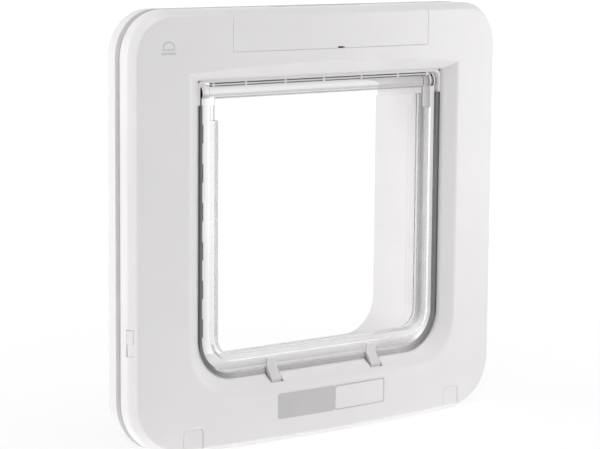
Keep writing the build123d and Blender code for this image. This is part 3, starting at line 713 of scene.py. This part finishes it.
def make_finishes(c):
    """All finishes by name, each from what the real material is and how its surface was made; the flap, the
    seals and the coil also carry painted shade.
    """
    return {
        # ABS moulded in a spark-eroded tool: an even satin white, its 0.3 mm grain drawn at 1.2 mm to show
        "shell": grained("ABS satin white moulding", c.shell, shade(c.shell, 0.018),
                         {"IOR": 1.54}, 1.2, 0.02, (0.36, 0.46)),
        # The caps come from another tool and run a little warmer
        "cap": grained("ABS warm white moulding", c.cap, shade(c.cap, 0.022),
                       {"IOR": 1.54}, 1.2, 0.02, (0.38, 0.48)),
        # Polypropylene off a smooth core: waxy, slightly see-through at its edges
        "tunnel": grained("Polypropylene smooth white", c.tunnel, shade(c.tunnel, 0.022),
                          {"IOR": 1.49, "Subsurface Weight": 0.1, "Subsurface Radius": (0.002, 0.002, 0.002)},
                          3.0, 0.01, (0.28, 0.36)),
        # Co-extruded seal: a dusty skin and a stiff pale foot behind; its own dark grey with painted shade of
        # the gap beside the flap, nearly black at the outer edge and greyer at the lip
        "seal": seal_rubber("EPDM rubber co-extruded", c, {"IOR": 1.52}, (0.62, 0.80)),
        # Silicone lip: pale and thin in the middle of the sill, darkened towards its ends into the side
        # seals' painted shade
        "sill": seal_rubber("Silicone grey moulding", c, {"IOR": 1.41}, (0.50, 0.65), c.sill),
        # Acetal: dense, slippery, light grey
        "catch": grained("Acetal light grey moulding", c.catch, shade(c.catch, 0.045),
                         {"IOR": 1.48}, 1.0, 0.01, (0.30, 0.42)),
        # Silver-grey film: smooth, with a fine fleck in its gloss
        "plate": grained("Polycarbonate film silver grey", c.plate, shade(c.plate, 0.066),
                         {"IOR": 1.58}, 0.8, 0.005, (0.34, 0.44)),
        # Frosted acrylic, unlit: pale grey, its gloss broken by a fine frost
        "lens": grained("Acrylic frosted light guide", c.lens, shade(c.lens, 0.09),
                        {"IOR": 1.49}, 0.6, 0.01, (0.28, 0.40), 5.0),
        # The same ABS in black, from a duller tool
        "inner": grained("ABS black moulding", c.inner, shade(c.inner, 0.30),
                         {"IOR": 1.54}, 1.2, 0.02, (0.45, 0.60)),
        # Solder resist screened on glass cloth: glossy green, mottled by the cloth under it
        "board": grained("Glass epoxy board with green resist", c.board, shade(c.board, 0.39),
                         {"IOR": 1.55}, 2.0, 0.02, (0.25, 0.40), 8.0),
        # Zinc-plated steel: bluish bright metal with small cloudy spangles
        "steel": grained("Zinc plated steel", linear("#B4B6BA"), linear("#9DA0A6"),
                         {"Metallic": 1.0}, 0.8, 0.005, (0.22, 0.38), 3.0),
        # Hobbed brass: warm yellow metal, its gloss broken by the fine marks of cutting
        "brass": grained("Brass hobbed", linear("#C9A24E"), linear("#A9853C"),
                         {"Metallic": 1.0}, 0.6, 0.01, (0.22, 0.36), 3.0),
        "polycarbonate": clear_polycarbonate(c.flap, c.flap_rim_shade),
        "copper": wound_copper(),
        "sleeve": cell_sleeve(c.cell, c.cell_end),
    }


# Distances from the middle, in millimetres, over which the seals change: across the lip (painted shade of the
# gap), back to the foot, and along the sill to its ends (painted shade into the side seals' tones)
SEAL_LIP, SEAL_FOOT, SILL_ENDS = (93.0, 91.2), (24.5, 19.0), (62.0, 88.0)
# Distances, in millimetres, over which painted shade greys the flap's rim at its sides, foot and head
RIM_SIDE, RIM_FOOT, RIM_HEAD = (82.0, 91.0), (-79.0, -89.0), (74.0, 94.0)
# Length of the band on a cell's sleeve and of its fade, in millimetres
BAND, BAND_FADE = 13.0, 0.2


def run_along(tree, place, axis, span):
    """Socket that runs from 0 to 1 over a span of distances from the middle along an axis, in millimetres."""
    along = add(tree, "ShaderNodeSeparateXYZ", None, {"Vector": place}).outputs[axis]
    away = add(tree, "ShaderNodeMath", {"operation": "ABSOLUTE"}, {0: along}).outputs["Value"]
    return mapped(tree, away, span[0] * MM, span[1] * MM, kind="SMOOTHSTEP")


def seal_rubber(name, c, settings, rough, middle=None):
    """Dull seal: painted shade of the gap as a dark outer edge, paler lip by the flap and pale foot behind.

    A middle colour, where one is given, runs into these shaded tones towards both ends.
    """
    material, tree, place = blank(name)
    mix = "ShaderNodeMix"
    # Painted shade: darkest at the outer edge, in the gap beside the flap
    inwards = run_along(tree, place, "X", SEAL_LIP)
    tint = add(tree, mix, {"data_type": "RGBA", 6: c.seal, 7: c.seal_lip}, {0: inwards}).outputs[2]
    backwards = run_along(tree, place, "Y", SEAL_FOOT)
    tint = add(tree, mix, {"data_type": "RGBA", 7: c.seal_foot}, {0: backwards, 6: tint}).outputs[2]
    if middle:
        # Painted shade: the sill darkens towards its ends into the side seals' tones
        ends = run_along(tree, place, "X", SILL_ENDS)
        tint = add(tree, mix, {"data_type": "RGBA", 6: middle}, {0: ends, 7: tint}).outputs[2]
    dust = noise(tree, place, 0.8, 3.0)
    gloss = mapped(tree, dust, 0.0, 1.0, *rough)
    return ended(material, tint, settings, dust, relief=0.03, gloss=gloss)


def clear_polycarbonate(clear, edge):
    """Clear polycarbonate off a polished tool: sees through, with painted shade greying its thick rim towards
    the edge.
    """
    material, tree, place = blank("Polycarbonate clear polished")
    axes = add(tree, "ShaderNodeSeparateXYZ", None, {"Vector": place}).outputs
    away = add(tree, "ShaderNodeMath", {"operation": "ABSOLUTE"}, {0: axes["X"]}).outputs["Value"]
    spans = ((away, RIM_SIDE), (axes["Z"], RIM_FOOT), (axes["Z"], RIM_HEAD))
    rim = largest(tree, *(mapped(tree, along, start * MM, end * MM) for along, (start, end) in spans))
    # Painted shade: the rim runs from clear to the edge grey
    tint = ramp(tree, rim, (0.0, clear), (1.0, edge))
    gloss = mapped(tree, noise(tree, place, 30.0, 1.0), high=0.03)
    return ended(material, tint, {"IOR": 1.585, "Transmission Weight": 1.0}, gloss=gloss)


def wound_copper():
    """Enamelled wire: 0.5 mm turns, side by side along the depth, drawn as bands of height and of painted
    shade, darker in the grooves between turns.
    """
    material, tree, place = blank("Enamelled copper wire wound")
    turns = add(tree, "ShaderNodeTexWave", {
        "wave_type": "BANDS", "bands_direction": "Y", "Scale": 0.31 / (0.5 * MM) / math.pi, "Distortion": 0.4,
    }, {"Vector": place}).outputs["Fac"]
    # Painted shade: dark copper in the grooves between turns, bright on their crowns
    tint = ramp(tree, turns, (0.0, linear("#5E2C14")), (1.0, linear("#B8693A")))
    settings = {"Metallic": 1.0, "Roughness": 0.35, "Coat Weight": 0.5}
    return ended(material, tint, settings, turns, strength=0.8, relief=0.2)


def cell_sleeve(body, band):
    """Shrunk PVC sleeve: dark, glossy, with a coppery band over the last quarter of each cell."""
    material, tree, place = blank("PVC sleeve shrunk")
    low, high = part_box("battery_cell_1")
    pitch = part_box("battery_cell_2")[0][0] - low[0]
    across = add(tree, "ShaderNodeSeparateXYZ", None, {"Vector": place}).outputs["X"]
    wrap = {"operation": "WRAP", 1: high[0], 2: high[0] - pitch}
    along = add(tree, "ShaderNodeMath", wrap, {0: across}).outputs["Value"]
    step = mapped(tree, along, high[0] - (BAND + BAND_FADE) * MM, high[0] - BAND * MM)
    tint = ramp(tree, step, (0.0, body), (1.0, band))
    creases = noise(tree, place, 6.0, 2.0)
    return ended(material, tint, {"Roughness": 0.25, "IOR": 1.53}, creases, strength=0.3, relief=0.1)


def finish_named(name):
    """Finish by its short name, made with the rest on first use."""
    scene = bpy.context.scene
    made = scene.get("pet_door_finishes")
    if made is None:
        made = {key: material.name for key, material in make_finishes(scene.pet_door_finish).items()}
        scene["pet_door_finishes"] = made
    return bpy.data.materials[made[name]]


# Operators


class PETDOOR_OT_front_shell(bpy.types.Operator):
    """Bowed front shell with its sloped recess, as one surface with its openings left out"""

    bl_idname = "petdoor.front_shell"
    bl_label = "Front shell"

    def execute(self, context):
        s = context.scene.pet_door_shell
        form = ShellForm(s).stations(*shell_cuts(s))
        points, marks = form.rows()
        round_caps(form, points, marks, 0.0)
        row = np.arange(len(points) - 1)[:, None]
        top, low, left = form.dz == 1, form.dz == -1, form.dx == -1
        cover = top & inside(form.x, -s.cover_half, s.cover_half)
        cap = low & inside(np.abs(form.x), s.cap_middle - s.cap_half, cap_end(s) - TOUCH)
        slot = low & inside(np.abs(form.x), s.slot_middle - s.slot_half, s.slot_middle + s.slot_half)
        drop = (row < marks["middle"]) & cover
        drop |= (row >= marks["cap_rear"]) & (row < marks["middle"]) & cap
        drop |= (row >= marks["slot"]) & slot
        # The switch's slot is a shallow recess
        switch = left & (form.z > s.switch_low + SLOT_WALL / 2) & (form.z < s.switch_high - SLOT_WALL / 2)
        points[marks["switch_rear"] + 1:marks["switch_front"] + 1, switch, 0] += s.switch_recess
        piece = grid_object("front_shell_moulding", points, closed=True, keep=~drop)
        thicken(piece, s.wall)
        seat(piece, "shell", "front_shell")
        return {"FINISHED"}


class PETDOOR_OT_battery_cover(bpy.types.Operator):
    """Battery cover from the same surface, with its slit and finger recess"""

    bl_idname = "petdoor.battery_cover"
    bl_label = "Battery cover"

    # Lengths over which the finger recess fades at its ends and in front, and its reach from the rear edge
    FADE_ENDS, FADE_FRONT, REACH = 3 * MM, 2 * MM, 5.5 * MM

    def execute(self, context):
        s = context.scene.pet_door_shell
        edge = s.cover_half - s.cover_gap
        ends = np.array([edge, s.finger_half, s.finger_half - self.FADE_ENDS])
        slit_ends = [s.slit_middle - s.slit_half, s.slit_middle + s.slit_half]
        cuts = np.concatenate([ends, -ends, slit_ends])
        # The lower seam is tighter than the gap at the ends
        form = ShellForm(s, cover_lift=0.5 * s.cover_gap).stations(cuts, np.array([]))
        points, marks = form.rows()
        columns = np.flatnonzero((form.dz == 1) & (np.abs(form.x) < edge + TOUCH))
        points = points[:marks["middle"] + 1, columns].copy()
        # One of the last face rows becomes the top of the slit
        line = marks["middle"] - 2
        points[line, :, 2] = s.cover_low + s.cover_gap + s.slit_height
        # Scoop: its depth falls off smoothly at its ends and towards the front
        x, y = points[..., 0], points[..., 1]
        ends = ease((s.finger_half - np.abs(x)) / self.FADE_ENDS)
        front = ease((y - s.rear_y + self.REACH) / self.FADE_FRONT)
        on_top = np.arange(len(points))[:, None] < marks["shoulder"]
        points[..., 2] -= s.finger_depth * ends * front * on_top
        along = np.abs((x[0, 1:] + x[0, :-1]) / 2 - s.slit_middle)
        slit = (along < s.slit_half)[None] & (np.arange(len(points) - 1)[:, None] >= line)
        piece = grid_object("battery_cover_moulding", points, keep=~slit)
        thicken(piece, s.wall)
        soften(piece, context.scene.pet_door_trim.cover_round)
        seat(piece, "shell", "battery_cover")
        return {"FINISHED"}


class PETDOOR_OT_screw_caps(bpy.types.Operator):
    """Two screw caps from the same surface at the lower corners"""

    bl_idname = "petdoor.screw_caps"
    bl_label = "Screw caps"

    def execute(self, context):
        s = context.scene.pet_door_shell
        low_x = s.cap_middle - s.cap_half + s.cap_gap
        high_x = cap_end(s) - s.cap_gap
        cuts = np.array([low_x, high_x])
        form = ShellForm(s, cap_drop=s.cap_gap).stations(np.concatenate([cuts, -cuts]), np.array([]))
        points, marks = form.rows()
        round_caps(form, points, marks, s.cap_gap)
        for side, node in ((-1, "screw_cap_left"), (1, "screw_cap_right")):
            away = side * form.x
            columns = np.flatnonzero((form.dz == -1) & (away > low_x - TOUCH) & (away < high_x + TOUCH))
            piece = grid_object(node + "_moulding", points[marks["cap_rear"]:marks["middle"] + 1, columns])
            thicken(piece, s.wall)
            soften(piece, context.scene.pet_door_trim.cap_round)
            seat(piece, "cap", node)
        return {"FINISHED"}


class PETDOOR_OT_bare_plate(bpy.types.Operator):
    """Bare plate on the sill of the face: a filled half and an open half"""

    bl_idname = "petdoor.bare_plate"
    bl_label = "Bare plate"

    def execute(self, context):
        s, t = context.scene.pet_door_shell, context.scene.pet_door_trim
        halves = (
            ("filled", t.plate_left, t.plate_split, 0.0),
            ("open", t.plate_split, t.plate_right, t.plate_line),
        )
        for name, left, right, line in halves:
            outline = round_outline(left, right, t.plate_low, t.plate_top, t.plate_corner, t.plate_corner)
            piece = face_plate("bare_plate_" + name, s, outline, t.plate_proud, line)
            seat(piece, "plate", "indicator_lens", stands_for=False)
        return {"FINISHED"}


class PETDOOR_OT_indicator(bpy.types.Operator):
    """Indicator lens: the outline of a dome, over a short bar"""

    bl_idname = "petdoor.indicator"
    bl_label = "Indicator"

    def execute(self, context):
        s, t = context.scene.pet_door_shell, context.scene.pet_door_trim
        left, foot, right, top = LENS_LOW[0], LENS_LOW[2], LENS_HIGH[0], LENS_HIGH[2]
        middle = (left + right) / 2
        dome = round_outline(
            middle - t.dome_half, middle + t.dome_half, foot + t.dome_foot, top, t.lens_corner, t.dome_top)
        bar = round_outline(left, right, foot, foot + t.bar_height, t.lens_corner, t.lens_corner)
        for name, outline, line in (("dome", dome, t.dome_line), ("bar", bar, 0.0)):
            piece = face_plate("indicator_" + name, s, outline, t.lens_proud, line)
            seat(piece, "lens", "indicator_lens", stands_for=name == "dome")
        return {"FINISHED"}


class PETDOOR_OT_flap(bpy.types.Operator):
    """Clear flap with rounded edges"""

    bl_idname = "petdoor.flap"
    bl_label = "Flap"

    def execute(self, context):
        piece = merged_copy("flap", context.scene.pet_door_trim.flap_round, FLAP_SEGMENTS)
        piece.visible_shadow = False
        seat(piece, "polycarbonate", "flap")
        return {"FINISHED"}


class PETDOOR_OT_round_mouldings(bpy.types.Operator):
    """Rear shell, tunnel and seals with smooth round faces, and small mouldings with rounded edges"""

    bl_idname = "petdoor.round_mouldings"
    bl_label = "Round mouldings"

    # Mouldings and their finishes
    SMOOTH = {
        "rear_shell": "shell",
        "tunnel": "tunnel",
        "side_seal_left": "seal",
        "side_seal_right": "seal",
        "sill_seal": "sill",
    }
    ROUNDED = {"catch_left": "catch", "catch_right": "catch", "side_switch": "shell"}

    def execute(self, context):
        for nodes, edge in ((self.SMOOTH, 0.0), (self.ROUNDED, context.scene.pet_door_trim.small_round)):
            for node, finish in nodes.items():
                piece = merged_copy(node, edge)
                if node == "rear_shell":
                    draw_out_corners(piece.data, context.scene.pet_door_shell)
                seat(piece, finish, node)
        return {"FINISHED"}


class PETDOOR_OT_finishes(bpy.types.Operator):
    """Finishes for the solids that show as they are"""

    bl_idname = "petdoor.finishes"
    bl_label = "Finishes of the solids"

    SOLIDS = {
        "seal": ("hood_seal",),
        "catch": ("hinge_bearing_left", "hinge_bearing_right", "lock_bar"),
        "brass": ("lock_pinion",),
        "steel": ("gearmotor", "housing_screws", "battery_contact_left", "battery_contact_right"),
        "inner": ("lock_chassis", "battery_tray"),
        "sleeve": ("battery_cell_1", "battery_cell_2", "battery_cell_3", "battery_cell_4"),
        "board": ("circuit_board",),
        "copper": ("reader_coil",),
    }

    def execute(self, context):
        for finish, nodes in self.SOLIDS.items():
            for node in nodes:
                solid = frame["nodes"][node]
                solid.data.materials.clear()
                solid.data.materials.append(finish_named(finish))
        return {"FINISHED"}


def soft_light(name, place, size, power):
    """Rectangular soft box at a place, turned to the middle of the part."""
    lamp = bpy.data.lights.new(name, "AREA")
    lamp.shape = "RECTANGLE"
    lamp.size, lamp.size_y = size
    lamp.energy = power
    box = bpy.data.objects.new(name, lamp)
    box.location = place
    box.rotation_euler = (Vector((0, 0, 0)) - Vector(place)).to_track_quat("-Z", "Y").to_euler()
    bpy.context.collection.objects.link(box)


def seen_directly(tree):
    """Socket that is 1 for what the camera sees, directly, in a mirror or through glass."""
    rays = add(tree, "ShaderNodeLightPath").outputs
    return largest(tree, rays["Is Camera Ray"], rays["Is Transmission Ray"], rays["Is Glossy Ray"])


class PETDOOR_OT_stage(bpy.types.Operator):
    """White studio: floor, soft lights, even surroundings and the camera"""

    bl_idname = "petdoor.stage"
    bl_label = "Stage"

    # Width and height of each soft box, in metres
    KEY_SIZE, SIDE_SIZE, TOP_SIZE = (0.2, 0.4), (0.8, 1.4), (1.6, 1.0)
    # Floor, in metres: its radius, that of its middle ring, its drop under the part and its fade to white
    FLOOR_RADIUS, FLOOR_MIDDLE, FLOOR_DROP = 12.0, 0.02, 0.5 * MM
    FADE_START, FADE_END = 0.25, 0.9
    FLOOR_COLUMNS = 64

    def execute(self, context):
        scene, s = context.scene, context.scene.pet_door_stage
        scene.view_settings.view_transform = "Standard"
        self.floor(CAD_BOX[0][2] - self.FLOOR_DROP, s.table)
        soft_light("Key light", s.key_place, self.KEY_SIZE, s.key)
        soft_light("Side light", s.side_place, self.SIDE_SIZE, s.side)
        soft_light("Top light", s.top_place, self.TOP_SIZE, s.top)
        self.surroundings(scene, s.ambient)
        self.camera(scene, s)
        return {"FINISHED"}

    def floor(self, height, strength):
        """Round pale floor, lit from below, that keeps the shadow near the part and fades to white beyond."""
        turn = np.linspace(0, 2 * math.pi, self.FLOOR_COLUMNS, endpoint=False)
        reach = np.array([self.FLOOR_RADIUS, self.FLOOR_MIDDLE])[:, None]
        rings = np.stack([reach * np.cos(turn), reach * np.sin(turn), np.full((2, len(turn)), height)], -1)
        floor = grid_object("Floor", rings, closed=True, capped=True)
        material, tree, place = blank("Paper sweep white")
        paper = add(tree, "ShaderNodeBsdfDiffuse", {"Color": linear("#F0F0F0")})
        glow = add(tree, "ShaderNodeEmission", {"Color": linear("#FFFFFF"), "Strength": 1.1})
        away = add(tree, "ShaderNodeVectorMath", {"operation": "LENGTH"}, {0: place}).outputs["Value"]
        fade = mapped(tree, away, self.FADE_START, self.FADE_END, 0.75, 1.0)
        bright = add(tree, "ShaderNodeMixShader", None, {
            "Fac": fade, 1: paper.outputs["BSDF"], 2: glow.outputs["Emission"]})
        under = add(tree, "ShaderNodeEmission", {"Color": linear("#FFFFFF"), "Strength": strength})
        lit = add(tree, "ShaderNodeAddShader", None, {0: paper.outputs["BSDF"], 1: under.outputs["Emission"]})
        seen = add(tree, "ShaderNodeMixShader", None, {
            "Fac": seen_directly(tree), 1: lit.outputs["Shader"], 2: bright.outputs["Shader"]})
        add(tree, "ShaderNodeOutputMaterial", None, {"Surface": seen.outputs["Shader"]})
        floor.data.materials.append(material)

    def surroundings(self, scene, strength):
        """Even white light, which looks full white to the camera."""
        world = bpy.data.worlds.new("Studio")
        world.use_nodes = True
        tree = world.node_tree
        tree.nodes.clear()
        even = add(tree, "ShaderNodeBackground", {"Color": linear("#FFFFFF"), "Strength": strength})
        white = add(tree, "ShaderNodeBackground", {"Color": linear("#FFFFFF"), "Strength": 1.0})
        mixed = add(tree, "ShaderNodeMixShader", None, {
            "Fac": seen_directly(tree), 1: even.outputs["Background"], 2: white.outputs["Background"]})
        add(tree, "ShaderNodeOutputWorld", None, {"Surface": mixed.outputs["Shader"]})
        scene.world = world

    def camera(self, scene, s):
        """Camera at the eye, looking at the target, turned by the roll."""
        eye = Vector(s.eye)
        back = (eye - Vector(s.target)).normalized()
        right = Vector((0, 0, 1)).cross(back).normalized()
        up = back.cross(right)
        turned_right = right * math.cos(s.roll) + up * math.sin(s.roll)
        turned_up = up * math.cos(s.roll) - right * math.sin(s.roll)
        data = bpy.data.cameras.new("Camera")
        data.lens = s.lens
        data.sensor_width = 36.0
        data.sensor_fit = "HORIZONTAL"
        camera = bpy.data.objects.new("Camera", data)
        axes = Matrix((turned_right, turned_up, back)).transposed().to_4x4()
        camera.matrix_world = Matrix.Translation(eye) @ axes
        scene.collection.objects.link(camera)
        scene.camera = camera


class PETDOOR_PT_panel(bpy.types.Panel):
    """Sidebar panel with the steps and the settings"""

    bl_idname = "PETDOOR_PT_panel"
    bl_label = "Pet door"
    bl_space_type = "VIEW_3D"
    bl_region_type = "UI"
    bl_category = "Pet door"

    def draw(self, context):
        for step in STEPS:
            self.layout.operator(step.bl_idname)
        for name, group in SETTINGS.items():
            box = self.layout.box()
            for setting in group.__annotations__:
                box.prop(getattr(context.scene, name), setting)


SETTINGS = {
    "pet_door_shell": ShellSettings,
    "pet_door_trim": TrimSettings,
    "pet_door_finish": FinishSettings,
    "pet_door_stage": StageSettings,
}
STEPS = (
    PETDOOR_OT_front_shell,
    PETDOOR_OT_battery_cover,
    PETDOOR_OT_screw_caps,
    PETDOOR_OT_bare_plate,
    PETDOOR_OT_indicator,
    PETDOOR_OT_flap,
    PETDOOR_OT_round_mouldings,
    PETDOOR_OT_finishes,
    PETDOOR_OT_stage,
)


def register():
    for name, group in SETTINGS.items():
        bpy.utils.register_class(group)
        setattr(bpy.types.Scene, name, PointerProperty(type=group))
    for cls in (*STEPS, PETDOOR_PT_panel):
        bpy.utils.register_class(cls)


def unregister():
    for cls in (PETDOOR_PT_panel, *reversed(STEPS)):
        bpy.utils.unregister_class(cls)
    for name, group in SETTINGS.items():
        delattr(bpy.types.Scene, name)
        bpy.utils.unregister_class(group)


def main():
    register()
    for step in STEPS:
        group, name = step.bl_idname.split(".")
        getattr(getattr(bpy.ops, group), name)()


if __name__ == "__main__":
    main()
